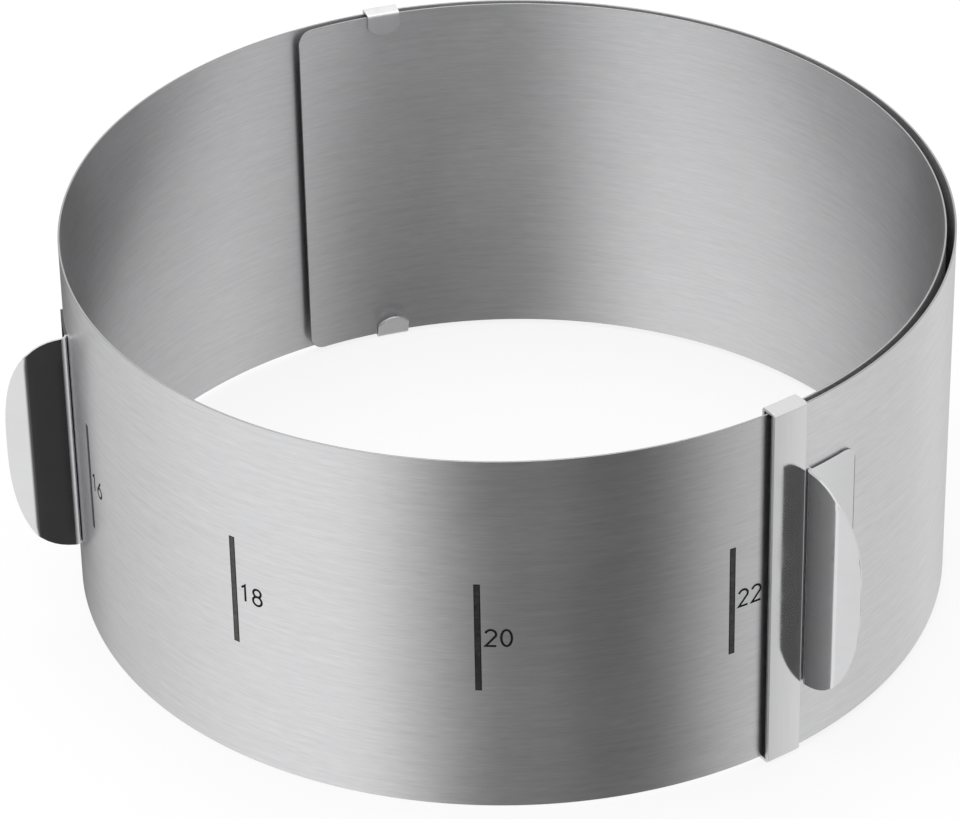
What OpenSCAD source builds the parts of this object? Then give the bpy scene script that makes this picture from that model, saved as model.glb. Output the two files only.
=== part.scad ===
// Adjustable cake ring. One long sprung steel band is wound about one and a half times on itself.
// A guide strip at the outer end of the band is folded over both rims, and the inner layer slides
// through it. Two finger grips open and close the ring, and two small clips at the inner end hook
// over both rims. The ring size is read on the scale at the left edge of the guide strip.
//
// The real band bends all along. Here it is a row of short rigid links with an upright hinge between
// neighbours, and every link lies on the same spiral at rest.
//
// Frame: the origin is on the ring's axis, at the level that it stands on. +Z is up, -Y is the front.
// Arc positions are measured along the band from the strip's left edge, which is the band's outer end.

/* [Band] */
// Ring diameter that the band is set to, as read at the strip
set_size = 223; // [205:1:240]
// Whole length of the band
band_length = 1039; // [1030:1:1045]
// Height of the band
band_h = 100; // [80:1:120]
// Thickness of the band
band_t = 0.5; // [0.4:0.05:0.7]
// Rigid links that the band is divided into
link_count = 36; // [34:1:36]
// Gap between two neighbouring links
hinge_gap = 0.1; // [0.06:0.01:0.16]
// Radius of the corners at the inner end
end_corner_r = 4; // [1:0.5:8]

/* [Winding] */
// Direction of the strip's left edge, in degrees to the right of the front
lead_angle = 35.8; // [0:0.1:80]
// How far the band runs inwards in one turn
layer_step = 1.7; // [1.5:0.05:2]
// Extra space between the layers at the right side
side_swell = 0.8; // [0:0.1:1]
// Extra space between the layers at the inner end
end_swell = 0.4; // [0:0.1:0.6]

/* [Scale] */
// Smallest diameter on the scale
scale_from = 160; // [140:10:180]
// Largest diameter on the scale
scale_to = 300; // [260:10:300]
// Step of the scale
scale_step = 20; // [10:10:40]
// Width of a scale line
mark_w = 1.6; // [0.6:0.1:2.4]
// Height of a scale line
mark_h = 30.8; // [10:0.2:40]
// Depth of a scale line
mark_depth = 0.06; // [0.03:0.01:0.12]

/* [Guide strip] */
// Width of the strip
strip_w = 9.7; // [9:0.1:14]
// Sheet thickness of the strip
strip_t = 0.8; // [0.6:0.05:1.2]
// Space for the inner layer, from the band's middle to the strip's inner leaves
strip_channel = 3.1; // [2.9:0.1:4]
// Height of the strip's inner leaves
strip_leaf_h = 7; // [4:0.5:12]

/* [Finger grips] */
// Sheet thickness of a grip
grip_t = 1; // [0.6:0.1:1.5]
// Height of a grip
grip_h = 62; // [40:1:64]
// Length of a grip's foot along the band
foot_w = 17; // [12:0.5:17]
// Radius of the foot's corners
foot_corner_r = 4; // [1:0.5:8]
// How far the flat of a wing stands out from the band
wing_reach = 10.6; // [7:0.1:14]
// Outer radius of the bend between foot and wing
bend_r = 2; // [1.6:0.1:3]
// Inner radius of the bend between wing and lip
lip_bend_r = 1.5; // [0.5:0.1:3]
// Angle that the lip leans back over the foot
lip_angle = 45; // [20:1:60]
// Length of the flat of the lip
lip_len = 6.4; // [4:0.1:9]
// Radius of the wing's rounded outline
wing_round_r = 17; // [16:0.5:22]
// Gap between the strip and the right grip's fold
grip_gap = 0.2; // [0.1:0.05:1]
// Arc position of the left grip's fold
left_fold_at = 487; // [486:0.5:488]

/* [Rim clips] */
// Width of a clip
clip_w = 8.8; // [6:0.2:12]
// Sheet thickness of a clip
clip_t = 0.8; // [0.6:0.05:1.2]
// Height of a clip's rounded inner leaf
clip_leaf_h = 5.6; // [4.6:0.1:9]
// Height of a clip's outer leaf
clip_lip_h = 3.4; // [2:0.1:6]
// Space for the outer layer, from the band's middle to the outer leaf
clip_channel = 2.9; // [2.6:0.1:4]
// Distance from the inner end of the band to the middle of a clip
clip_back = 24.3; // [24:0.1:24.4]

/* [Fits] */
// Running gap between a rim and the fold that goes over it
rim_gap = 0.15; // [0.1:0.05:0.4]

/* [Hidden] */
$fn = 240;
arc_fn = 64;
corner_lift = 0.01;
wing_cuts = 10;
overrun = 1;
leaf_lap = 0.4;
steel = [0.78, 0.78, 0.79];
polished = [0.86, 0.86, 0.87];

// The folds of the strip and of the clips are level, and the ring stands on them.
fold_t = max(strip_t, clip_t);
band_z = fold_t + rim_gap;
mid_z = band_z + band_h / 2;

link_len = band_length / link_count;
start_r = (set_size + layer_step) / 2;
swell_turn = 120;
end_turn = 45;

// Radius of the band's middle line, turn being the angle wound from the outer end
function band_r(turn) =
    let (inner = max(turn - 360, 0))
    start_r - layer_step * turn / 360
    - side_swell * pow(sin(180 * min(inner / swell_turn, 1)), 2)
    - end_swell * pow(min(max(inner - swell_turn, 0) / end_turn, 1), 2);
function band_point(turn) =
    band_r(turn) * [sin(lead_angle + turn), -cos(lead_angle + turn)];
function step_turn(turn) =
    let (half = link_len / band_r(turn) / PI * 90)
    link_len / band_r(turn + half) * 180 / PI;
function heading(turn) =
    let (ahead = band_point(turn + 0.01) - band_point(turn - 0.01))
    atan2(ahead.y, ahead.x);

// Where each link starts, as an angle wound and as a point, with the inner end as the last one
link_turn = [for (i = 0, turn = 0; i <= link_count; turn = turn + step_turn(turn), i = i + 1) turn];
link_point = [for (turn = link_turn) band_point(turn)];

// The bend, radius, first direction and arc centre of link i
function link_bend(i) = (heading(link_turn[i + 1]) - heading(link_turn[i]) + 720) % 360;
function link_chord(i) = link_point[i + 1] - link_point[i];
function link_r(i) = norm(link_chord(i)) / 2 / sin(link_bend(i) / 2);
function link_heading(i) = atan2(link_chord(i).y, link_chord(i).x) - link_bend(i) / 2;
function link_centre(i) =
    link_point[i] - link_r(i) * [cos(link_heading(i) - 90), sin(link_heading(i) - 90)];

// Which link an arc position is on, and how far round its arc centre
function link_at(s) = min(floor(s / link_len), link_count - 1);
function angle_on(i, s) = (s - i * link_len) / link_r(i) * 180 / PI;

strip_link = 0;
grip_link = link_at(left_fold_at);
clip_at = band_length - clip_back;
clip_link = link_at(clip_at);

function two_digits(n) = n < 10 ? str("0", n) : str(n);

// Puts things at link i's arc centre, with its start in the direction of +X
module on_link(i) {
    translate([link_centre(i).x, link_centre(i).y, 0])
        rotate(link_heading(i) - 90)
            children();
}

// Puts things at arc position s of link i: +X points out of the ring, +Y along the band
module on_band(i, s) {
    on_link(i)
        rotate(angle_on(i, s))
            translate([link_r(i), 0, 0])
                children();
}

// A piece of curved wall on link i between two radii, two arc positions and two heights
module curved_wall(i, r_in, r_out, s_from, s_to, z_from, z_to) {
    a_from = angle_on(i, s_from);
    on_link(i)
        rotate(a_from)
            rotate_extrude(angle = angle_on(i, s_to) - a_from)
                translate([r_in, z_from])
                    square([r_out - r_in, z_to - z_from]);
}

// Extrudes an outline drawn along the band and upwards, through the wall
module through_wall(depth) {
    translate([-depth / 2, 0, 0])
        rotate([90, 0, 90])
            linear_extrude(depth)
                children();
}

// What a rounded corner takes away: the corner is at the origin, the wall lies towards -X and -Y.
// The arc meets both edges at a slight angle.
module corner_waste(r) {
    difference() {
        translate([-r, -r])
            square(r + overrun);
        translate([-r, -r] * (1 - corner_lift))
            circle(r, $fn = arc_fn);
    }
}

// The lines of the scale that lie on link i or touch its ends
module scale_lines(i) {
    r_face = link_r(i) + band_t / 2;
    for (size = [scale_from : scale_step : scale_to]) {
        s = PI * size;
        if (s > i * link_len - mark_w && s < (i + 1) * link_len + mark_w)
            curved_wall(
                i, r_face - mark_depth, r_face + overrun,
                s - mark_w / 2, s + mark_w / 2, mid_z - mark_h / 2, mid_z + mark_h / 2
            );
    }
}

// The two rounded corners at the band's inner end
module end_corners() {
    on_band(link_count - 1, band_length)
        for (side = [-1, 1])
            translate([0, 0, mid_z + side * band_h / 2])
                through_wall(2 * end_corner_r)
                    scale([1, side])
                        corner_waste(end_corner_r);
}

module band_link(i) {
    s_from = i * link_len + (i > 0 ? hinge_gap / 2 : 0);
    s_to = (i + 1) * link_len - (i < link_count - 1 ? hinge_gap / 2 : 0);
    color(steel)
        difference() {
            curved_wall(
                i, link_r(i) - band_t / 2, link_r(i) + band_t / 2,
                s_from, s_to, band_z, band_z + band_h
            );
            scale_lines(i);
            if (i == link_count - 1)
                end_corners();
        }
}

// A leaf's outline with a half-round free end, drawn downwards from the rim
module leaf_outline(w, h) {
    half = min(w / 2, h);
    translate([-w / 2, half - h])
        square([w, h - half]);
    translate([0, half - h])
        scale([w / 2 / half, 1])
            circle(half, $fn = arc_fn);
}

// Keeps only what lies below the rim's level, and goes up straight into the bridge above it
module below_rim(w, h) {
    intersection() {
        leaf_outline(w, h);
        translate([-w, -2 * h])
            square([2 * w, 2 * h]);
    }
    translate([-w / 2, -overrun / 2])
        square([w, overrun / 2 + leaf_lap]);
}

// A leaf that hangs on a curved wall from height z_top, with a half-round free end
module hanging_leaf(i, s, w, h, r_in, r_out, z_top) {
    intersection() {
        curved_wall(i, r_in, r_out, s - w / 2, s + w / 2, z_top - h, z_top + leaf_lap);
        on_band(i, s)
            translate([(r_in + r_out) / 2 - link_r(i), 0, z_top])
                through_wall(2 * (r_out - r_in) + overrun)
                    below_rim(w, h);
    }
}

// Draws its children at the upper rim, and mirrored at the lower rim if asked
module at_rim(upper) {
    if (upper)
        children();
    else
        translate([0, 0, 2 * mid_z])
            mirror([0, 0, 1])
                children();
}

// The fold over one rim: a bridge and a half-round inner leaf
module rim_fold(i, s, w, r_in, r_out, sheet_t, leaf_h) {
    z_bridge = band_z + band_h + rim_gap;
    curved_wall(i, r_in, r_out, s - w / 2, s + w / 2, z_bridge, z_bridge + sheet_t);
    hanging_leaf(i, s, w, leaf_h, r_in, r_in + sheet_t, z_bridge);
}

// The strip is spot welded to the outside of the band's outer end and folded over both rims.
module guide_strip() {
    r_in = link_r(strip_link) - strip_channel - strip_t;
    r_face = link_r(strip_link) + band_t / 2;
    z_over = rim_gap + strip_t;
    color(polished) {
        curved_wall(
            strip_link, r_face, r_face + strip_t, 0, strip_w,
            band_z - z_over, band_z + band_h + z_over
        );
        for (upper = [false, true])
            at_rim(upper)
                rim_fold(
                    strip_link, strip_w / 2, strip_w, r_in, r_face + strip_t,
                    strip_t, strip_leaf_h
                );
    }
}

// A flat of sheet along +X, as high as a grip
module sheet_flat(len) {
    translate([0, 0, -grip_h / 2])
        cube([len, grip_t, grip_h]);
}

// A bend of sheet about the Z axis, as high as a grip
module sheet_bend(r_in, a_from, bend) {
    rotate(a_from)
        rotate_extrude(angle = bend)
            translate([r_in, -grip_h / 2])
                square([grip_t, grip_h]);
}

// A wing with square corners: the bend up from the foot, the flat, the bend of the lip and the lip.
// The band's face is at x = 0 and the foot starts at y = 0.
module square_wing() {
    translate([bend_r, 0, 0])
        sheet_bend(bend_r - grip_t, 180, 90);
    translate([bend_r, -bend_r, 0])
        sheet_flat(wing_reach - bend_r);
    translate([wing_reach, grip_t + lip_bend_r - bend_r, 0]) {
        sheet_bend(lip_bend_r, 270, lip_angle);
        rotate(lip_angle)
            translate([0, -lip_bend_r - grip_t, 0])
                sheet_flat(lip_len);
    }
}

// What the wing's rounded outline cuts off one corner, end being -1 or 1. The arc is a row of cuts.
module wing_waste(end) {
    far = 2 * wing_round_r;
    arc = [
        for (a = [0 : 90 / wing_cuts : 90])
            wing_round_r * [cos(a), sin(a)]
    ];
    translate([bend_r, foot_w, end * (grip_h / 2 - wing_round_r)])
        rotate([90, 0, 0])
            linear_extrude(2 * foot_w)
                scale([1, end])
                    polygon(concat(arc, [[0, far], [far, far], [far, 0]]));
}

// The foot lies on the band from y = 0, about a centre that is face_r away, with two round corners.
module grip_foot(face_r) {
    turn = (foot_w - bend_r) / face_r * 180 / PI;
    translate([-face_r, 0, 0])
        difference() {
            rotate_extrude(angle = turn)
                translate([face_r, -grip_h / 2])
                    square([grip_t, grip_h]);
            rotate(turn)
                translate([face_r, 0, 0])
                    for (end = [-1, 1])
                        translate([0, 0, end * grip_h / 2])
                            through_wall(4 * foot_corner_r)
                                scale([1, end])
                                    corner_waste(foot_corner_r);
        }
}

// A finger grip whose fold is at arc position s. The foot runs along the band towards side.
module grip(i, s, side) {
    color(polished)
        on_band(i, s + side * bend_r)
            translate([band_t / 2, 0, mid_z])
                scale([1, side, 1])
                    union() {
                        grip_foot(link_r(i) + band_t / 2);
                        difference() {
                            square_wing();
                            wing_waste(-1);
                            wing_waste(1);
                        }
                    }
}

// A clip is spot welded inside the band's inner end and hooks over both layers at one rim.
module rim_clip(upper) {
    r_in = link_r(clip_link) - band_t / 2 - clip_t;
    r_lip = link_r(clip_link) + clip_channel;
    z_bridge = band_z + band_h + rim_gap;
    color(polished)
        at_rim(upper) {
            rim_fold(clip_link, clip_at, clip_w, r_in, r_lip + clip_t, clip_t, clip_leaf_h);
            curved_wall(
                clip_link, r_lip, r_lip + clip_t, clip_at - clip_w / 2, clip_at + clip_w / 2,
                z_bridge - clip_lip_h, z_bridge + clip_t
            );
        }
}

for (i = [0 : link_count - 1])
    band_link(i);
guide_strip();
grip(strip_link, strip_w + grip_gap, 1);  // right_grip
grip(grip_link, left_fold_at, -1);  // left_grip
rim_clip(true);  // upper_clip
rim_clip(false);  // lower_clip
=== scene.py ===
# %% [markdown]
# An adjustable cake ring
# One long band of springy stainless steel is wound one and a half times round, and two finger grips
# slide it through a guide strip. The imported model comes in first, as the frame that everything sits on.
# Every later piece is made in that same frame, so nothing has to be fitted by eye. Sizes are written in
# millimetres, as on a workshop drawing, and become Blender's metres where a mesh is made.

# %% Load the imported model
import math
import bpy
import numpy as np
from mathutils import Matrix, Vector


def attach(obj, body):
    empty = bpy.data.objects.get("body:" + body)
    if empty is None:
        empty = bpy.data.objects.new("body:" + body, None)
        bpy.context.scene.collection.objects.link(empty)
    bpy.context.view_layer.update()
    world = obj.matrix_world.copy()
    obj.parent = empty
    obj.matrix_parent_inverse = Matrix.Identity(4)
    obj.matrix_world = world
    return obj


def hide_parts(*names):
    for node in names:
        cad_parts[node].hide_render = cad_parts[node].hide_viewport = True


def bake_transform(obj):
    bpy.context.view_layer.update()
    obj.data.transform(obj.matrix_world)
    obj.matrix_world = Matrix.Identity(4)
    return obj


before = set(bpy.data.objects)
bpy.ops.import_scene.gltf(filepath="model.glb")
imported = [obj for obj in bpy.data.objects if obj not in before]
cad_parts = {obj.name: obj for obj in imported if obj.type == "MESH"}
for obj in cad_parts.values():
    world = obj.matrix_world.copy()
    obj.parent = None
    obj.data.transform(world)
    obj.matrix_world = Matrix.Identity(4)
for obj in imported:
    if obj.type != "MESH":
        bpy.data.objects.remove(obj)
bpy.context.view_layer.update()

# %% [markdown]
# The band's own line
# The band is a spiral, and its radius shrinks a little with every degree that it turns. Past its first
# full turn it leans in a little more, which leaves the wider gap between the layers on the right. One
# long curve could follow the spiral, but the hinges of the frame cut the band into links of one length,
# each a plain arc. So the same arcs are worked out here, and a point of the band is named by one number:
# how far along the band it lies.

# %% Sizes of the band
MM = 0.001
FULL_TURN = 360
SET_SIZE = 223.0  # the ring's diameter at rest
LAYER_STEP = 1.7  # from the middle of one layer to the next
LEAD_ANGLE = 35.8  # where the outer end stands, in degrees from the front
SIDE_SWELL, SIDE_TURN = 0.8, 120  # the inner layer leans in by this much, over this turn
END_SWELL, END_TURN = 0.4, 45  # and so does its end
BAND_LENGTH = 1039.0
BAND_T = 0.5
BAND_H = 100.0
LINKS = 36
LINK = BAND_LENGTH / LINKS
FOLD = 0.95  # the strip's lower fold holds the band this far off the floor
MID_Z = FOLD + BAND_H / 2


def band_radius(turn):
    """The spiral's radius after a turn of so many degrees from the outer end."""
    inner = max(turn - FULL_TURN, 0)
    swell = SIDE_SWELL * math.sin(math.pi * min(inner / SIDE_TURN, 1)) ** 2
    end = END_SWELL * min(max(inner - SIDE_TURN, 0) / END_TURN, 1) ** 2
    return (SET_SIZE + LAYER_STEP) / 2 - LAYER_STEP * turn / FULL_TURN - swell - end


def spiral_point(turn):
    a = math.radians(LEAD_ANGLE + turn)
    return band_radius(turn) * np.array([math.sin(a), -math.cos(a)])


def spiral_heading(turn, step=0.01):
    """The direction in which the band runs on, from two points close by."""
    ahead = spiral_point(turn + step) - spiral_point(turn - step)
    return math.atan2(ahead[1], ahead[0])


print("band %.0f mm long, in %d links of %.2f mm" % (BAND_LENGTH, LINKS, LINK))

# %% Arcs of the links
turns = [0.0]
for _ in range(LINKS):
    half = math.degrees(LINK / band_radius(turns[-1]) / 2)
    turns.append(turns[-1] + math.degrees(LINK / band_radius(turns[-1] + half)))

arcs = []
for i in range(LINKS):
    start = spiral_point(turns[i])
    chord = spiral_point(turns[i + 1]) - start
    bend = (spiral_heading(turns[i + 1]) - spiral_heading(turns[i])) % (2 * math.pi)
    radius = np.linalg.norm(chord) / 2 / math.sin(bend / 2)
    first = math.atan2(chord[1], chord[0]) - bend / 2 - math.pi / 2
    centre = start - radius * np.array([math.cos(first), math.sin(first)])
    arcs.append((centre, radius, first))


def on_band(s, out=0.0, link=None):
    """The point of the band at arc position s, moved outwards, and the direction outwards."""
    i = min(max(int(s // LINK), 0), LINKS - 1) if link is None else link
    centre, radius, first = arcs[i]
    a = first + (s - i * LINK) / radius
    outwards = np.array([math.cos(a), math.sin(a)])
    return centre + outwards * (radius + out), outwards


print("arc radius runs from %.2f to %.2f mm" % (arcs[0][1], arcs[-1][1]))

# %% [markdown]
# The camera
# The photograph looks down at the ring at about 33 degrees with a long lens. A camera could be placed by
# hand until the picture looks right. This one comes from fitting the rims and the scale lines to the
# picture, which also gave the ring's height of about 100 mm. The lens is left unshifted, so that every
# other view of the ring stays centred too.

# %% Camera
CAMERA_PITCH, CAMERA_YAW, CAMERA_ROLL = 33.252, -2.959, -1.130
CAMERA_DISTANCE = 1239.3
CAMERA_ASIDE, CAMERA_LIFT = 46.39, 43.44
LENS_PIXELS = 4843.5
FRAME_WIDTH = 960
SENSOR_WIDTH = 36

pitch, yaw, roll = (math.radians(v) for v in (CAMERA_PITCH, CAMERA_YAW, CAMERA_ROLL))
sight = Vector((math.sin(yaw) * math.cos(pitch), math.cos(yaw) * math.cos(pitch), -math.sin(pitch)))
level = Vector((math.cos(yaw), -math.sin(yaw), 0))
above = level.cross(sight)
right = math.cos(roll) * level + math.sin(roll) * above
up = math.cos(roll) * above - math.sin(roll) * level
back, rise = CAMERA_DISTANCE * math.cos(pitch), CAMERA_DISTANCE * math.sin(pitch)
camera_at = Vector((CAMERA_ASIDE, -back, rise + CAMERA_LIFT)) * MM

camera_data = bpy.data.cameras.new("camera")
camera_data.sensor_width = SENSOR_WIDTH
camera_data.lens = LENS_PIXELS / FRAME_WIDTH * SENSOR_WIDTH
camera_data.clip_start = 0.01
camera = bpy.data.objects.new("camera", camera_data)
bpy.context.scene.collection.objects.link(camera)
turn_to = Matrix((right, up, -sight)).transposed().to_4x4()
camera.matrix_world = Matrix.Translation(camera_at) @ turn_to
bpy.context.scene.camera = camera
print("camera at", [round(v, 3) for v in camera_at], "lens %.1f mm" % camera_data.lens)

# %% [markdown]
# The studio
# Bare metal has hardly a colour of its own: it shows the room. The photographer's room is pale, with a
# few dark cards round the ring, and these make the soft dark bands on the steel. Real cards and lamps
# could stand in the scene, but they would also darken the floor and show in other views. Here the world
# plays the room instead: its brightness goes by compass direction and height, and only the metal sees
# it. Everything else gets a plain even white light. The floor is white, and keeps the ring's soft shadow.

# %% Helpers for node trees
def link_nodes(tree, *pairs):
    """Joins sockets: each pair is (output, input)."""
    for a, b in pairs:
        tree.links.new(a, b)


def add_node(tree, kind, **values):
    node = tree.nodes.new(kind)
    for key, value in values.items():
        setattr(node, key, value)
    return node


def feed(tree, socket, value):
    """Gives a socket a number, or joins it to another socket."""
    if hasattr(value, "is_linked"):
        tree.links.new(value, socket)
    else:
        socket.default_value = value


def math_node(tree, operation, a, b=0.0, c=0.0):
    """A Math node. Its three inputs are numbers or sockets."""
    node = add_node(tree, "ShaderNodeMath", operation=operation)
    for socket, value in zip(node.inputs, (a, b, c)):
        feed(tree, socket, value)
    return node.outputs[0]


def mapped(tree, value, low, high, start=0, end=1, kind="LINEAR"):
    """Turns start to end into low to high."""
    node = add_node(tree, "ShaderNodeMapRange", interpolation_type=kind)
    for label, number in (("From Min", start), ("From Max", end), ("To Min", low), ("To Max", high)):
        node.inputs[label].default_value = number
    tree.links.new(value, node.inputs["Value"])
    return node.outputs[0]


print("helpers for node trees ready")

# %% Compass and height in the room
bpy.context.scene.view_settings.view_transform = "Standard"
world = bpy.data.worlds.new("studio")
bpy.context.scene.world = world
world.use_nodes = True
room = world.node_tree
room.nodes.clear()
direction = add_node(room, "ShaderNodeTexCoord")
axes = add_node(room, "ShaderNodeSeparateXYZ")
room.links.new(direction.outputs["Generated"], axes.inputs[0])
south = math_node(room, "MULTIPLY", axes.outputs["Y"], -1)
compass = math_node(room, "DEGREES", math_node(room, "ARCTAN2", axes.outputs["X"], south))
height = math_node(room, "DEGREES", math_node(room, "ARCSINE", axes.outputs["Z"]))
print("the room has", len(room.nodes), "nodes for its directions")

# %% Cards in the room
# Each card or window is (middle, half its width, softness, depth), the first three in degrees. A card is
# a stretch of the compass, 0 at the front, and its window is the stretch of height where it stands.
ROOM_LEVEL = 1.12
DARKEST = 0.015
FRONT_CARD, FRONT_WINDOW = (13, 34, 22, 0.99), (-20, 36, 8, 1.0)
LOW_FRONT_CARD, LOW_FRONT_WINDOW = (30, 11, 8, 0.13), (-33, 11, 6, 1.0)
SIDE_CARDS = (
    (-186, 42, 18, 0.80),
    (-150, 52, 34, 0.34),
    (174, 20, 16, 0.45),
    (58, 18, 12, 0.44),
    (112, 28, 18, 0.24),
)
SIDE_WINDOW = (-35, 36, 14, 1.0)


def soft_card(angle, middle, half, soft, depth):
    """depth inside a card, fading to nothing past its soft edges."""
    off = math_node(room, "ABSOLUTE", math_node(room, "SUBTRACT", angle, middle))
    return mapped(room, off, depth, 0, half - soft, half + soft, "SMOOTHSTEP")


side_window = soft_card(height, *SIDE_WINDOW)
cards = [
    (FRONT_CARD, soft_card(height, *FRONT_WINDOW)),
    (LOW_FRONT_CARD, soft_card(height, *LOW_FRONT_WINDOW)),
    *((card, side_window) for card in SIDE_CARDS),
]
brightness = ROOM_LEVEL
for card, window in cards:
    shade = math_node(room, "MULTIPLY", soft_card(compass, *card), window)
    brightness = math_node(room, "SUBTRACT", brightness, shade)
brightness = math_node(room, "MAXIMUM", brightness, DARKEST)
print("room level", ROOM_LEVEL, "with", len(cards), "cards")

# %% What the metal sees
metal_sees = add_node(room, "ShaderNodeBackground")
room.links.new(brightness, metal_sees.inputs["Strength"])
plain_light = add_node(room, "ShaderNodeBackground")
plain_light.inputs["Color"].default_value = (1, 1, 1, 1)
plain_light.inputs["Strength"].default_value = 1
ray = add_node(room, "ShaderNodeLightPath")
choice = add_node(room, "ShaderNodeMixShader")
world_out = add_node(room, "ShaderNodeOutputWorld")
link_nodes(
    room,
    (ray.outputs["Is Glossy Ray"], choice.inputs[0]),
    (plain_light.outputs[0], choice.inputs[1]),
    (metal_sees.outputs[0], choice.inputs[2]),
    (choice.outputs[0], world_out.inputs["Surface"]),
)
print("world", world.name, "made with", len(room.nodes), "nodes")

# %% Floor
FLOOR_HALF = 3.0
FLOOR_GAP = 0.0002  # keeps the floor just clear of the strip's lower fold
PAPER_GREY = 0.86
PAPER_WHITE = 0.82  # how much of the floor's colour is plain white where the camera sees it

floor_mesh = bpy.data.meshes.new("floor")
corners = [(x * FLOOR_HALF, y * FLOOR_HALF, 0) for x, y in ((-1, -1), (1, -1), (1, 1), (-1, 1))]
floor_mesh.from_pydata(corners, [], [(0, 1, 2, 3)])
floor = bpy.data.objects.new("floor", floor_mesh)
floor.location.z = -FLOOR_GAP
bpy.context.scene.collection.objects.link(floor)
floor.visible_glossy = False

paper = bpy.data.materials.new("white_paper")
paper.use_nodes = True
tree = paper.node_tree
tree.nodes.clear()
matt = add_node(tree, "ShaderNodeBsdfDiffuse")
matt.inputs["Color"].default_value = (PAPER_GREY, PAPER_GREY, PAPER_GREY, 1)
white = add_node(tree, "ShaderNodeEmission")
white.inputs["Strength"].default_value = 1
ray = add_node(tree, "ShaderNodeLightPath")
seen = math_node(tree, "ADD", ray.outputs["Is Camera Ray"], ray.outputs["Is Glossy Ray"])
seen = math_node(tree, "ADD", seen, ray.outputs["Is Transmission Ray"])
mix = add_node(tree, "ShaderNodeMixShader")
out = add_node(tree, "ShaderNodeOutputMaterial")
link_nodes(
    tree,
    (math_node(tree, "MULTIPLY", seen, PAPER_WHITE), mix.inputs[0]),
    (matt.outputs[0], mix.inputs[1]),
    (white.outputs[0], mix.inputs[2]),
    (mix.outputs[0], out.inputs["Surface"]),
)
floor_mesh.materials.append(paper)
print("floor %.0f m wide" % (2 * FLOOR_HALF))

# %% Lamp
LAMP_AT = (-0.2, 0.1, 1.5)
lamp_data = bpy.data.lights.new("top_softbox", "AREA")
lamp_data.shape = "DISK"
lamp_data.size = 1.4
lamp_data.energy = 9
lamp = bpy.data.objects.new("top_softbox", lamp_data)
lamp.location = LAMP_AT
lamp.rotation_mode = "QUATERNION"
lamp.rotation_quaternion = Vector(LAMP_AT).to_track_quat("Z", "Y")
bpy.context.scene.collection.objects.link(lamp)
print("lamp %.1f m up, %.0f W" % (lamp.location.z, lamp_data.energy))

# %% [markdown]
# Two effects that several finishes share
# Brushed sheet is covered in fine scratches that all run along the band. A picture of scratches could be
# laid on it, but noise that is stretched along the band and squeezed across it never repeats and needs
# no picture. Handled steel also carries faint smudges and a brighter, rubbed edge. Each effect is one
# node group with its own inputs, and every finish places it with its own numbers. Both read the flat
# map that each piece carries, which gives the place along the sheet and up the sheet, in metres.

# %% Helpers for groups
def new_group(name, inputs, outputs):
    group = bpy.data.node_groups.new(name, "ShaderNodeTree")
    for label, value in inputs:
        socket = group.interface.new_socket(label, in_out="INPUT", socket_type="NodeSocketFloat")
        socket.default_value = value
    for label in outputs:
        group.interface.new_socket(label, in_out="OUTPUT", socket_type="NodeSocketFloat")
    return group, add_node(group, "NodeGroupInput"), add_node(group, "NodeGroupOutput")


def stretched_noise(group, along, across, detail, layer):
    """Noise on the flat map, with its own scale along and across the sheet. layer picks a new one."""
    flat = add_node(group, "ShaderNodeUVMap", uv_map="sheet")
    parts = add_node(group, "ShaderNodeSeparateXYZ")
    joined = add_node(group, "ShaderNodeCombineXYZ")
    joined.inputs["Z"].default_value = layer
    noise = add_node(group, "ShaderNodeTexNoise")
    noise.inputs["Scale"].default_value = 1
    noise.inputs["Detail"].default_value = detail
    link_nodes(
        group,
        (flat.outputs[0], parts.inputs[0]),
        (math_node(group, "MULTIPLY", parts.outputs["X"], along), joined.inputs["X"]),
        (math_node(group, "MULTIPLY", parts.outputs["Y"], across), joined.inputs["Y"]),
        (joined.outputs[0], noise.inputs["Vector"]),
    )
    return noise.outputs["Fac"]


print("helpers for groups ready")

# %% Group: grain along the sheet
# The shade is three fifths fine scratches and two fifths streaks that are about four times as broad.
BROAD_ALONG, BROAD_ACROSS = 0.25, 0.22
FINE_SHARE, BROAD_SHARE = 0.6, 0.4

grain_group, given, result = new_group(
    "sheet_grain", [("Along", 220), ("Across", 4200)], ["Scratch", "Shade"]
)
along, across = given.outputs["Along"], given.outputs["Across"]
fine = stretched_noise(grain_group, along, across, detail=3, layer=0)
broad = stretched_noise(
    grain_group,
    math_node(grain_group, "MULTIPLY", along, BROAD_ALONG),
    math_node(grain_group, "MULTIPLY", across, BROAD_ACROSS),
    detail=2, layer=5,
)
fine_part = math_node(grain_group, "MULTIPLY", fine, FINE_SHARE)
shade = math_node(grain_group, "MULTIPLY_ADD", broad, BROAD_SHARE, fine_part)
link_nodes(grain_group, (fine, result.inputs["Scratch"]), (shade, result.inputs["Shade"]))
print("group", grain_group.name, "made")

# %% Group: smudges and rubbed edges
# The rubbed edge follows the edge mark that each mesh carries, and noise nibbles at it.
SMUDGE_FROM, SMUDGE_TO = 0.42, 0.68
NICK_SCALE = 300

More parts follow.
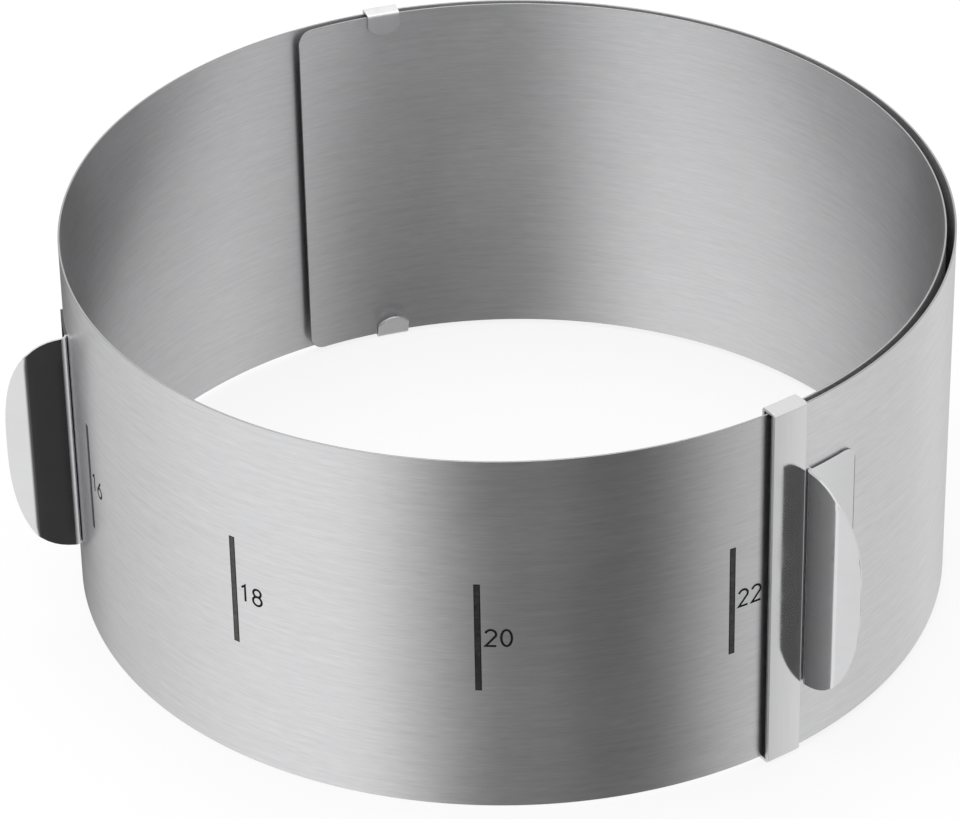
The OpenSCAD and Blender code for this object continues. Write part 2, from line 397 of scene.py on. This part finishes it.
wear_group, given, result = new_group(
    "handling_wear", [("Smudge Scale", 30), ("Edge Bite", 0.5)], ["Smudge", "Rubbed"]
)
smudge_scale = given.outputs["Smudge Scale"]
spread = stretched_noise(wear_group, smudge_scale, smudge_scale, detail=4, layer=9)
patch = mapped(wear_group, spread, 0, 1, SMUDGE_FROM, SMUDGE_TO, "SMOOTHSTEP")
edge_mark = add_node(wear_group, "ShaderNodeAttribute", attribute_name="edge")
nicks = stretched_noise(wear_group, NICK_SCALE, NICK_SCALE, detail=2, layer=3)
bite = math_node(wear_group, "MULTIPLY", nicks, given.outputs["Edge Bite"])
rubbed = math_node(wear_group, "SUBTRACT", edge_mark.outputs["Fac"], bite)
rubbed = math_node(wear_group, "MAXIMUM", rubbed, 0)
link_nodes(wear_group, (patch, result.inputs["Smudge"]), (rubbed, result.inputs["Rubbed"]))
print("group", wear_group.name, "made")

# %% [markdown]
# The finishes
# The band is stainless sheet brushed along its length. A brushed surface blurs what it mirrors across
# the scratches and hardly at all along them. Real scratches in the mesh would take millions of faces, so
# the shader's Anisotropic value does this instead. The inside of the band is darker where it is seen at
# a low angle, a painted shade. The grips and the strip are stamped from polished sheet, close to a
# mirror, and the clips and the strip's cut rim are satin. The rims of the grips' welded feet are painted
# dark, a painted shade where foot meets band. The numbers of the scale are etched nearly black, and its
# lines have a lighter, mottled floor inside a dark border.

# %% Helper that mixes two colours
COLOUR_A, COLOUR_B, COLOUR_OUT = 6, 7, 2  # the colour sockets of a Mix node


def colour_mix(tree, amount, first, second):
    """A colour between two others, each a socket or three numbers."""
    node = add_node(tree, "ShaderNodeMix", data_type="RGBA")
    for place, colour in ((COLOUR_A, first), (COLOUR_B, second)):
        feed(tree, node.inputs[place], colour if hasattr(colour, "is_linked") else (*colour, 1))
    tree.links.new(amount, node.inputs[0])
    return node.outputs[COLOUR_OUT]


print("helper for colours ready")


# %% Helper that starts a finish
def new_finish(name, grain, dark, light, metallic, bump, depth):
    """A material whose grain gives its two greys and its relief, depth mm deep, with its parts."""
    material = bpy.data.materials.new(name)
    material.use_nodes = True
    tree = material.node_tree
    shader = tree.nodes["Principled BSDF"]
    shader.inputs["Metallic"].default_value = metallic
    grains = add_node(tree, "ShaderNodeGroup", node_tree=grain_group)
    grains.inputs["Along"].default_value, grains.inputs["Across"].default_value = grain
    relief = add_node(tree, "ShaderNodeBump")
    relief.inputs["Strength"].default_value = bump
    relief.inputs["Distance"].default_value = depth * MM
    colour = colour_mix(tree, grains.outputs["Shade"], dark, light)
    link_nodes(
        tree,
        (colour, shader.inputs["Base Color"]),
        (grains.outputs["Scratch"], relief.inputs["Height"]),
        (relief.outputs[0], shader.inputs["Normal"]),
    )
    return material, tree, shader, grains, colour


print("finishes start from the group", grain_group.name)

# %% Helper for bare steel
RUB_GAIN, RUB_LIMIT = 1.15, 0.92  # a rubbed edge is this much lighter, up to a limit
SCRATCH_DEPTH = 0.02
QUARTER_TURN = 0.25


def steel(name, dark, light, rough, grain, wear, bump, anisotropic=0.0, grazing=1.0):
    """Bare steel. wear is the smudges' scale, the edge's bite and the smudges' added roughness."""
    material, tree, shader, grains, colour = new_finish(
        name, grain, dark, light, 1, bump, SCRATCH_DEPTH
    )
    shader.inputs["Anisotropic"].default_value = anisotropic
    shader.inputs["Specular Tint"].default_value = (grazing, grazing, grazing, 1)
    worn = add_node(tree, "ShaderNodeGroup", node_tree=wear_group)
    worn.inputs["Smudge Scale"].default_value, worn.inputs["Edge Bite"].default_value, dull = wear
    bright = tuple(min(RUB_GAIN * c, RUB_LIMIT) for c in light)
    roughness = mapped(tree, grains.outputs["Shade"], *rough)
    roughness = math_node(tree, "MULTIPLY_ADD", worn.outputs["Smudge"], dull, roughness)
    link_nodes(
        tree,
        (colour_mix(tree, worn.outputs["Rubbed"], colour, bright), shader.inputs["Base Color"]),
        (roughness, shader.inputs["Roughness"]),
    )
    if anisotropic:
        across = add_node(tree, "ShaderNodeTangent", direction_type="RADIAL", axis="Z")
        tree.links.new(across.outputs[0], shader.inputs["Tangent"])
        shader.inputs["Anisotropic Rotation"].default_value = QUARTER_TURN
    return material


print("bare steel adds the group", wear_group.name)

# %% Finishes of the steel
# grazing is how bright the steel stays where it is seen at a low angle. The inside has it low, as a
# painted shade: the inside turns darker where it is seen at a low angle, for the shade that the ring
# casts on its own inner face.
brushed_band = steel(
    "brushed_band", (0.58, 0.58, 0.59), (0.94, 0.94, 0.95), (0.25, 0.35),
    grain=(220, 4200), wear=(22, 0.5, 0.03), bump=0.25, anisotropic=0.75,
)
# The inside: the band's finish with a low grazing, which paints shade where it is seen at a low angle.
brushed_inside_painted_shade = steel(
    "brushed_inside_painted_shade", (0.57, 0.57, 0.58), (0.91, 0.91, 0.92), (0.32, 0.44),
    grain=(220, 4200), wear=(22, 0.5, 0.03), bump=0.25, anisotropic=0.75, grazing=0.05,
)
cut_edge = steel(
    "cut_edge", (0.26, 0.26, 0.26), (0.42, 0.42, 0.42), (0.24, 0.38),
    grain=(900, 900), wear=(60, 0.3, 0.04), bump=0.1,
)
polished_sheet = steel(
    "polished_sheet", (0.76, 0.76, 0.77), (0.84, 0.84, 0.85), (0.07, 0.12),
    grain=(60, 1400), wear=(80, 0.5, 0.06), bump=0.05,
)
satin_sheet = steel(
    "satin_sheet", (0.74, 0.74, 0.75), (0.88, 0.88, 0.89), (0.40, 0.52),
    grain=(300, 1400), wear=(90, 0.5, 0.05), bump=0.08,
)
# Painted shade: a dark finish for the rims of the grips' feet, where the foot meets the band.
foot_rim_painted_shade = steel(
    "foot_rim_painted_shade", (0.06, 0.06, 0.062), (0.15, 0.15, 0.152), (0.30, 0.42),
    grain=(300, 900), wear=(90, 0.2, 0.03), bump=0.05,
)
sheet_finishes = (brushed_band, brushed_inside_painted_shade, cut_edge, polished_sheet, satin_sheet, foot_rim_painted_shade)
print("steel:", ", ".join(finish.name for finish in sheet_finishes))


# %% Finishes of the scale
ETCH_GRAIN = (700, 900)
ETCH_BUMP, ETCH_DEPTH = 0.4, 0.04
ETCH_SHINE = 0.2


def etched_finish(name, dark, light, metallic, rough):
    """Dark etched steel, mottled where the acid bit unevenly."""
    material, tree, shader, grains, colour = new_finish(
        name, ETCH_GRAIN, dark, light, metallic, ETCH_BUMP, ETCH_DEPTH
    )
    shader.inputs["Specular IOR Level"].default_value = ETCH_SHINE
    roughness = mapped(tree, grains.outputs["Shade"], *rough)
    tree.links.new(roughness, shader.inputs["Roughness"])
    return material


etched_scale = etched_finish(
    "etched_scale", (0.003, 0.003, 0.003), (0.032, 0.031, 0.029), 0.6, (0.55, 0.8)
)
etched_floor = etched_finish(
    "etched_floor", (0.006, 0.006, 0.006), (0.19, 0.187, 0.182), 1.0, (0.28, 0.4)
)
print("scale:", etched_scale.name + ",", etched_floor.name)

# %% [markdown]
# The band
# The real band is one sheet that bends everywhere, but the frame bends only at its 35 hinges. One mesh
# over all of it couldn't follow them, so each visible piece of band runs from the middle of one link to
# the middle of the next, with the hinge at its middle. The two end pieces ride on the first and last
# sections. A piece's cross section is a thin upright with rounded edges, which catch the light as the
# real cut rims do. The normals are given outright, so that no seam shows where two pieces meet.

# %% Helper that makes a mesh
def make_piece(name, points, faces, flat, finishes, face_finish=None, normals=None, edge=None):
    """A mesh from points in mm. flat gives the flat map, and edge marks the rubbed rims from 0 to 1."""
    mesh = bpy.data.meshes.new(name)
    mesh.from_pydata([tuple(np.array(p) * MM) for p in points], [], faces)
    mesh.update()
    layer = mesh.uv_layers.new(name="sheet")
    for loop in mesh.loops:
        layer.data[loop.index].uv = np.array(flat[loop.vertex_index]) * MM
    marks = mesh.attributes.new("edge", "FLOAT", "POINT")
    marks.data.foreach_set("value", edge if edge is not None else [0.0] * len(points))
    for finish in finishes:
        mesh.materials.append(finish)
    for polygon in mesh.polygons:
        polygon.use_smooth = True
        polygon.material_index = face_finish[polygon.index] if face_finish else 0
    if normals is not None:
        mesh.normals_split_custom_set_from_vertices([tuple(n) for n in normals])
    piece = bpy.data.objects.new(name, mesh)
    bpy.context.scene.collection.objects.link(piece)
    return piece


print("helper for meshes ready")

# %% Cross section of the band
EDGE_R = 0.12
END_CORNER = 4
CORNER_POINTS = 4
SECTION_POINTS = 4 * CORNER_POINTS


def band_section(low, high, half_t):
    """Points (out, up) and normals of the section, anticlockwise from the top of the outer face."""
    section = []
    corners = ((1, 1, 0), (-1, 1, 90), (-1, -1, 180), (1, -1, 270))
    for side_x, side_z, first in corners:
        x = side_x * (half_t - EDGE_R)
        z = high - EDGE_R if side_z > 0 else low + EDGE_R
        for step in range(CORNER_POINTS):
            a = math.radians(first + step * 90 / (CORNER_POINTS - 1))
            nx, nz = math.cos(a), math.sin(a)
            section.append((x + EDGE_R * nx, z + EDGE_R * nz, nx, nz))
    return section


def end_drop(s):
    """How far the rims draw in at the inner end's rounded corners."""
    into = s - (BAND_LENGTH - END_CORNER)
    return END_CORNER - math.sqrt(max(END_CORNER ** 2 - into * into, 0)) if into > 0 else 0.0


print("section of", len(band_section(0, BAND_H, BAND_T / 2)), "points, edges rounded to", EDGE_R, "mm")

# %% One piece of band
# The last strip of the section is the outer face and the middle one the inner face. The rest is rim.
BAND_FINISHES = [brushed_band, cut_edge, brushed_inside_painted_shade]
OUTER, CUT, INNER = range(len(BAND_FINISHES))
FACE_FINISH = {SECTION_POINTS - 1: OUTER, SECTION_POINTS // 2 - 1: INNER}


def band_piece(name, s_list, link_list):
    """A stretch of band through the stops s_list, each laid out on its own link."""
    points, flat, normals, edge, faces, finish = [], [], [], [], [], []
    ring = SECTION_POINTS
    for s, link in zip(s_list, link_list):
        drop = end_drop(s)
        for x, z, nx, nz in band_section(FOLD + drop, FOLD + BAND_H - drop, BAND_T / 2):
            spot, outwards = on_band(s, x, link)
            points.append((spot[0], spot[1], z))
            normals.append((outwards[0] * nx, outwards[1] * nx, nz))
            flat.append((s, z))
            edge.append(abs(nz))
    for k in range(len(s_list) - 1):
        for j in range(ring):
            a, b = k * ring + j, k * ring + (j + 1) % ring
            faces.append((a, a + ring, b + ring, b))
            finish.append(FACE_FINISH.get(j, CUT))
    for k, along in ((0, -1), (len(s_list) - 1, 1)):
        if s_list[k] in (0.0, BAND_LENGTH):  # a free end of the band is closed with a cap
            first = len(points)
            outwards = on_band(s_list[k], 0, link_list[k])[1]
            for j in range(ring):
                points.append(points[k * ring + j])
                flat.append(flat[k * ring + j])
                normals.append((-outwards[1] * along, outwards[0] * along, 0))
                edge.append(1.0)
            cap = list(range(first, first + ring))
            faces.append(cap if along < 0 else cap[::-1])
            finish.append(CUT)
    return make_piece(name, points, faces, flat, BAND_FINISHES, finish, normals, edge)


print("a piece of band has", len(BAND_FINISHES), "finishes")


# %% Where a piece of band rides
def follow_band(piece, j):
    """Ties the end pieces to the first and last sections; the others only have their place baked in."""
    if j == 0:
        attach(piece, "section_01")
    elif j == LINKS:
        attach(piece, "section_%02d" % LINKS)
    else:
        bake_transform(piece)


# %% All pieces of band
STEPS = 12
LAST_STEPS = 5
CORNER_STEPS = 10
HAIR = 1e-6

for j in range(LINKS + 1):
    begin, end = max(j - 0.5, 0) * LINK, min(j + 0.5, LINKS) * LINK
    stops = [begin + (end - begin) * k / STEPS for k in range(STEPS + 1)]
    if j == LINKS:  # the inner end needs closer stops round its corners
        corner_at = BAND_LENGTH - END_CORNER
        quarter = [math.sin(math.pi / 2 * k / CORNER_STEPS) for k in range(1, CORNER_STEPS)]
        stops = [begin + (corner_at - begin) * k / LAST_STEPS for k in range(LAST_STEPS + 1)]
        stops += [corner_at + END_CORNER * q for q in quarter] + [BAND_LENGTH]
    links = [min(max(j - 1 if s < j * LINK - HAIR else j, 0), LINKS - 1) for s in stops]
    piece = band_piece("band_piece_%02d" % j, stops, links)
    follow_band(piece, j)
    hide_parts(*{"band_%02d" % max(j, 1), "band_%02d" % min(j + 1, LINKS)})
print("band pieces:", LINKS + 1)

# %% [markdown]
# The scale
# Each line of the scale stands where the band has run in by pi times the ring's diameter, so the line
# nearest to the strip reads the size. The lines and numbers are etched into the steel. They could be
# Blender text, but text is flat and wouldn't bend with the band. So they are drawn as strokes of one
# width, laid on the band point by point, as dark skins a fortieth of a millimetre proud of the sheet.
# Each line gets a second skin inside it, for the lighter floor of the etching.

# %% Strokes of the numbers
DIGIT_H = 5.25
DIGIT_W = 3.1
STROKE = 0.6
LEFT, RIGHT = STROKE / 2, DIGIT_W - STROKE / 2
FOOT, TOP = STROKE / 2, DIGIT_H - STROKE / 2
MIDDLE = DIGIT_W / 2
HALF_W = MIDDLE - STROKE / 2


def oval(cx, cy, rx, ry, first, last, steps=18):
    """Points of an oval arc between two directions in degrees."""
    turns = [math.radians(first + (last - first) * k / steps) for k in range(steps + 1)]
    return [(cx + rx * math.cos(a), cy + ry * math.sin(a)) for a in turns]


GLYPHS = {
    "0": [oval(MIDDLE, DIGIT_H / 2, HALF_W, DIGIT_H / 2 - LEFT, 90, 450, 32)],
    "1": [[(0.75, TOP - 0.85), (1.75, TOP), (1.75, FOOT)]],
    "2": [oval(MIDDLE, TOP - HALF_W, HALF_W, HALF_W, 165, -28) + [(LEFT, FOOT), (RIGHT, FOOT)]],
    "3": [
        oval(MIDDLE - 0.1, TOP - 1.15, 1.1, 1.15, 155, -90),
        oval(MIDDLE - 0.1, FOOT + 1.27, HALF_W, 1.27, 90, -155),
    ],
    "4": [[(RIGHT, 1.45), (LEFT, 1.45), (1.95, TOP)], [(2.15, 2.9), (2.15, FOOT)]],
    "6": [
        oval(MIDDLE, FOOT + 1.35, HALF_W, 1.35, 150, 510, 32),
        [(2.3, TOP), (1.35, 3.6), (LEFT + 0.13, 2.25)],
    ],
    "8": [
        oval(MIDDLE, TOP - 1.08, 1.08, 1.08, -90, 270, 28),
        oval(MIDDLE, FOOT + 1.28, HALF_W, 1.28, 90, 450, 28),
    ],
}
print("numbers drawn:", " ".join(GLYPHS))

# %% Helper that lays strokes on the band
SKIN_RISE = 0.025
SKIN = BAND_T / 2 + SKIN_RISE
SHARPEST = 0.45  # keeps the point of a sharp corner from growing too long


def unit(step):
    return step / np.linalg.norm(step)


def lay_strokes(name, strokes, width, j, out=SKIN, finish=etched_scale):
    """A skin of ribbons: strokes are lists of (s, z) in mm along and up the band."""
    points, flat, faces = [], [], []
    for stroke in strokes:
        path = [np.array(p, float) for p in stroke]
        closed = np.linalg.norm(path[0] - path[-1]) < HAIR
        first = len(points)
        for k, here in enumerate(path):
            before = path[k - 1] if k else (path[-2] if closed else here)
            after = path[k + 1] if k + 1 < len(path) else (path[1] if closed else here)
            way_in, way_out = here - before, after - here
            way_in = unit(way_in if np.linalg.norm(way_in) else way_out)
            way_out = unit(way_out if np.linalg.norm(way_out) else way_in)
            mean = unit(way_in + way_out)
            across = np.array([-mean[1], mean[0]])
            reach = width / 2 / max(abs(np.dot(mean, way_in)), SHARPEST)
            for hand in (1, -1):
                s, z = here + hand * reach * across
                spot = on_band(s, out)[0]
                points.append((spot[0], spot[1], z))
                flat.append((s, z))
        for k in range(len(path) - 1):
            a = first + 2 * k
            faces.append((a, a + 1, a + 3, a + 2))
    skin = make_piece(name, points, faces, flat, [finish])
    follow_band(skin, j)
    return skin


print("skins lie", SKIN_RISE, "mm above the sheet")

# %% Lines and numbers
MARK_H = 30.8
MARK_W = 1.6
MARK_STEPS = 12
BORDER = 0.2  # of dark, left round the lighter floor of a line
FLOOR_RISE = 0.012
DIGITS_GAP = 0.76  # from a line to its number
DIGIT_GAP = 0.62  # from one digit to the next

for size in range(160, 301, 20):
    s_line = math.pi * size
    label = str(size // 10)
    joint = round(s_line / LINK)
    for piece_name, length, width, out, finish in (
        ("scale_line_", MARK_H, MARK_W, SKIN, etched_scale),
        ("scale_floor_", MARK_H - 2 * BORDER, MARK_W - 2 * BORDER, SKIN + FLOOR_RISE, etched_floor),
    ):
        line = [(s_line, MID_Z + length * (k / MARK_STEPS - 0.5)) for k in range(MARK_STEPS + 1)]
        lay_strokes(piece_name + label, [line], width, joint, out, finish)
    strokes = []
    begin = s_line + MARK_W / 2 + DIGITS_GAP
    for glyph in label:
        for stroke in GLYPHS[glyph]:
            strokes.append([(begin + x, MID_Z - DIGIT_H / 2 + y) for x, y in stroke])
        begin += DIGIT_W + DIGIT_GAP
    middle = (s_line + begin) / 2
    lay_strokes("scale_digits_" + label, strokes, STROKE, round(middle / LINK))
print("scale from 16 to 30, a line every 2 cm of diameter")

# %% [markdown]
# Bent sheet
# The strip, the grips and the clips are flat blanks that were stamped out and bent. Boxes joined at the
# folds would show hard seams. So each is a grid of points on the middle of the sheet, which bends as
# the sheet does. A Solidify modifier gives it thickness, a Bevel its softened edges, and weighted
# normals let the flats mirror cleanly.

# %% Helper for bent sheet
RIM_RUB = 0.35
SHARP_EDGE = 50


def bent_sheet(name, grid, thickness, edge_r, finish, rim_finish, welded=0):
    """A sheet from rows of (point, u, v) in mm, with its faces and its cut rim in two finishes.

    The rim of the first welded rows, and the whole of the first row, take a dark finish: painted shade
    where a welded foot meets the band.
    """
    rows, across = len(grid), len(grid[0])
    points = [cell[0] for row in grid for cell in row]
    flat = [cell[1:] for row in grid for cell in row]
    edge = [
        RIM_RUB if r in (0, rows - 1) or c in (0, across - 1) else 0.0
        for r in range(rows) for c in range(across)
    ]
    cells = [(r, c) for r in range(rows - 1) for c in range(across - 1)]
    faces = [
        (r * across + c, r * across + c + 1, (r + 1) * across + c + 1, (r + 1) * across + c)
        for r, c in cells
    ]
    # Each face's rim takes the finish after its own: 0 and 3 are plain faces, 1 is the first row in
    # painted shade.
    finishes = [finish, foot_rim_painted_shade, foot_rim_painted_shade, finish, rim_finish]
    face_finish = [3 if r >= welded else (0 if r else 1) for r, c in cells]
    sheet = make_piece(name, points, faces, flat, finishes, face_finish, edge=edge)
    solid = sheet.modifiers.new("sheet_thickness", "SOLIDIFY")
    solid.thickness = thickness * MM
    solid.offset = 0
    solid.use_even_offset = True
    solid.material_offset_rim = 1
    soft = sheet.modifiers.new("softened_edges", "BEVEL")
    soft.width = edge_r * MM
    soft.segments = 2
    soft.limit_method = "ANGLE"
    soft.angle_limit = math.radians(SHARP_EDGE)
    sheet.modifiers.new("even_normals", "WEIGHTED_NORMAL").keep_sharp = True
    return sheet


print("sheets are bevelled where they turn by more than", SHARP_EDGE, "degrees")

# %% Helpers for folds
BLANK_STEPS = 16


def arc_path(cx, cy, r, first, last, steps):
    """Points of an arc, without its first one."""
    return oval(cx, cy, r, r, first, last, steps)[1:]


def run_lengths(path):
    """How far along the path each point lies."""
    steps = [0.0]
    for a, b in zip(path, path[1:]):
        steps.append(steps[-1] + math.dist(a, b))
    return steps


def folded_grid(width, middle, link, path_at):
    """A folded blank of this width across the band: path_at gives its path, off its middle line."""
    grid = []
    for k in range(BLANK_STEPS + 1):
        off = -width / 2 + width * (1 - math.cos(math.pi * k / BLANK_STEPS)) / 2
        path = path_at(off)
        row = []
        for (x, z), run in zip(path, run_lengths(path)):
            spot = on_band(middle + off, x, link)[0]
            row.append(((spot[0], spot[1], z), run, off))
        grid.append(row)
    return grid


def upside_down(path):
    return [(x, 2 * MID_Z - z) for x, z in path]


print("blanks have", BLANK_STEPS + 1, "rows")

# %% [markdown]
# The guide strip
# The strip is welded to the band's outer end. It stands over the full height and is folded over both
# rims, with a rounded leaf inside, and the inner layer of the band slides between leaf and strip. It
# is one path, from leaf to leaf, repeated across the strip's width, because a single path keeps the
# folds smooth. The rows lie closer together at the sides, where the leaf's outline curves most.

# %% Folds over a rim
RIM = FOLD + BAND_H
FOLD_R, FOLD_STEPS = 0.6, 4
HOOK_RISE = 0.55  # how high the middle of the sheet crosses the rims
LEAF_FROM = 0.15  # a leaf's reach is measured from this far above the rim
LEAF_STEPS = 6


def rim_hook(x_plate, x_leaf, drop, lean=0.0):
    """From the plate over the rim to the end of the inner leaf, as (out, up).

    drop is how far the leaf reaches down, and lean the angle at which it stands off the band.
    """
    z = RIM + HOOK_RISE - FOLD_R
    path = arc_path(x_plate - FOLD_R, z, FOLD_R, 0, 90, FOLD_STEPS)
    path += arc_path(x_leaf + FOLD_R, z, FOLD_R, 90, 180, FOLD_STEPS)
    leaf = z - (RIM + LEAF_FROM - drop)
    slope = math.tan(math.radians(lean))
    steps = [leaf * k / LEAF_STEPS for k in range(1, LEAF_STEPS + 1)]
    return path + [(x_leaf - slope * down, z - down) for down in steps]


def round_leaf(off, w, drop, crown):
    """How far a leaf with a rounded end reaches; crown is how far the end bulges."""
    r = ((w / 2) ** 2 + crown ** 2) / (2 * crown)
    return drop - r + math.sqrt(max(r * r - off * off, 0))


print("folds cross the rims", HOOK_RISE, "mm above the band")

# %% Guide strip
STRIP_W = 9.7
STRIP_T, STRIP_EDGE = 0.8, 0.15
STRIP_OUT = (BAND_T + STRIP_T) / 2
STRIP_LEAF_OUT = -3.5
STRIP_LEAF, STRIP_CROWN = 7.0, 5.2
PLATE_STEPS = 6


def strip_path(off):
    reach = round_leaf(off, STRIP_W, STRIP_LEAF, STRIP_CROWN)
    rise = RIM + HOOK_RISE - FOLD_R - MID_Z
    upper = [(STRIP_OUT, MID_Z + rise * n / PLATE_STEPS) for n in range(PLATE_STEPS + 1)]
    upper += rim_hook(STRIP_OUT, STRIP_LEAF_OUT, reach)
    return upside_down(upper[:0:-1]) + upper


grid = folded_grid(STRIP_W, STRIP_W / 2, 0, strip_path)
strip = bent_sheet("guide_strip_folded", grid, STRIP_T, STRIP_EDGE, polished_sheet, satin_sheet)
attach(strip, "section_01")
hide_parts("guide_strip")
print("guide strip:", len(grid), "rows of", len(grid[0]))

# %% [markdown]
# The rim clips
# Two small clips at the band's inner end hook over both layers. Inside, each shows a tab with straight
# sides and a gently rounded end. Outside, a short lip holds the outer layer. They are folded like the
# strip, so the same helpers make them. The lower clip is the upper one turned upside down, and its tab
# stands off a little, which is why it catches more light in the photograph.

# %% Rim clips
CLIP_W = 8.8
CLIP_T, CLIP_EDGE = 0.6, 0.25
CLIP_FROM_END = 24.3
CLIP_AT = BAND_LENGTH - CLIP_FROM_END
CLIP_LIP_OUT, CLIP_TAB_OUT = 3.3, -0.85
CLIP_LIP_STOPS = (3.05, 1.5)  # below the rim
CLIP_TAB, CLIP_CROWN = 5.7, 2.2
LOWER_LEAN = 12


def clip_path(off, lean=0):
    """From the lip's end over both layers to the tab's end."""
    reach = round_leaf(off, CLIP_W, CLIP_TAB, CLIP_CROWN)
    lip = [(CLIP_LIP_OUT, RIM - down) for down in CLIP_LIP_STOPS]
    return lip + rim_hook(CLIP_LIP_OUT, CLIP_TAB_OUT, reach, lean)


def lower_clip_path(off):
    return upside_down(clip_path(off, LOWER_LEAN))


for name, path_at in (("upper_clip", clip_path), ("lower_clip", lower_clip_path)):
    grid = folded_grid(CLIP_W, CLIP_AT, LINKS - 1, path_at)
    clip = bent_sheet(name + "_hook", grid, CLIP_T, CLIP_EDGE, satin_sheet, satin_sheet)
    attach(clip, "section_%02d" % LINKS)
    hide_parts(name)
print("clips at", round(CLIP_AT, 1), "mm along the band")

# %% [markdown]
# The finger grips
# Each grip has a foot that is welded to the band, a wing that stands out, and a lip that leans back, so
# that a finger can push it from either side. Seen flat, wing and lip have one rounded outline, like a
# coin on edge. A disc could be cut and bent, but it is simpler to let the sheet's height follow the
# distance travelled along the bent path: the outline then comes out round after bending, as it does on
# the real blank. The foot's rim is painted dark, a painted shade where foot meets band, which draws its
# thin outline on the band.

# %% Path of a grip
GRIP_T, GRIP_EDGE = 0.6, 0.14
GRIP_R, BEND_STEPS = 1.5, 8
WALL_FROM, WALL_LEN, WALL_STEPS = 2.0, 8.6, 5
FOOT_LEN = 15.0
FOOT_STOPS = (15.0, 14.8, 14.4, 13.6, 12.6, 11.0, 8.5, 6.0, 4.0, 2.0, 0.0)
LIP_BEND, LIP_R, LIP_LEN = 30, 2.0, 6.0
LIP_STOPS = (0.22, 0.42, 0.6, 0.74, 0.85, 0.93, 0.975, 0.996)


def grip_path():
    """The middle of the sheet from the foot's end to the tip, as (out, along)."""
    path = [(GRIP_T / 2, y) for y in FOOT_STOPS]
    path += arc_path(GRIP_T / 2 + GRIP_R, 0, GRIP_R, 180, 270, BEND_STEPS)
    path += [(WALL_FROM + WALL_LEN * n / WALL_STEPS, -GRIP_R) for n in range(1, WALL_STEPS + 1)]
    lip_from = WALL_FROM + WALL_LEN
    path += arc_path(lip_from, LIP_R - GRIP_R, LIP_R, 270, 270 + LIP_BEND, BEND_STEPS)
    x, y = path[-1]
    a = math.radians(LIP_BEND)
    reach = [LIP_LEN * share for share in LIP_STOPS]
    return path + [(x + r * math.cos(a), y + r * math.sin(a)) for r in reach]


print("a grip reaches %.1f mm out of the band" % max(x for x, y in grip_path()))

# %% Outline of a grip
GRIP_HALF = 31.0
FOOT_CORNER = 4
OUTLINE_POWER = 2.6  # 2 would be a circle, more is squarer


def grip_half_height(run, whole):
    """Half the sheet's height: round corners on the foot, one rounded outline on wing and lip."""
    if run <= FOOT_LEN:
        into = max(FOOT_CORNER - run, 0)
        return GRIP_HALF - FOOT_CORNER + math.sqrt(max(FOOT_CORNER ** 2 - into * into, 0))
    part = (run - FOOT_LEN) / (whole - FOOT_LEN)
    return GRIP_HALF * (1 - part ** OUTLINE_POWER) ** (1 / OUTLINE_POWER)


print("grips are", 2 * GRIP_HALF, "mm high")

# %% Finger grips
RIGHT_AT, LEFT_AT = STRIP_W + 0.2, 487.0
FOOT_FROM = 2  # the flat foot begins this far past the grip's own place
GRIP_COLUMNS = 20
shares = [2 * n / GRIP_COLUMNS - 1 for n in range(GRIP_COLUMNS + 1)]

for name, body, link, fold_at, hand in (
    ("right_grip", "section_01", 0, RIGHT_AT, 1),
    ("left_grip", "section_17", 16, LEFT_AT, -1),
):
    path = grip_path()
    runs = run_lengths(path)
    whole = runs[-1] + LIP_LEN * (1 - LIP_STOPS[-1])
    origin, outwards = on_band(fold_at + hand * FOOT_FROM, BAND_T / 2, link)
    along = np.array([-outwards[1], outwards[0]]) * hand
    grid = []
    for (x, y), run in zip(path, runs):
        half = grip_half_height(run, whole)
        if run <= FOOT_LEN:  # the foot lies on the round band, the rest is straight
            spot = on_band(fold_at + hand * (FOOT_FROM + y), BAND_T / 2 + x, link)[0]
        else:
            spot = origin + outwards * x + along * y
        ups = [half * share for share in shares]
        grid.append([((spot[0], spot[1], MID_Z + off), run, off) for off in ups])
    grip = bent_sheet(
        name + "_bent", grid, GRIP_T, GRIP_EDGE, polished_sheet, polished_sheet,
        welded=len(FOOT_STOPS) - 1,
    )
    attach(grip, body)
    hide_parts(name)
    print(name, "rides on", body)
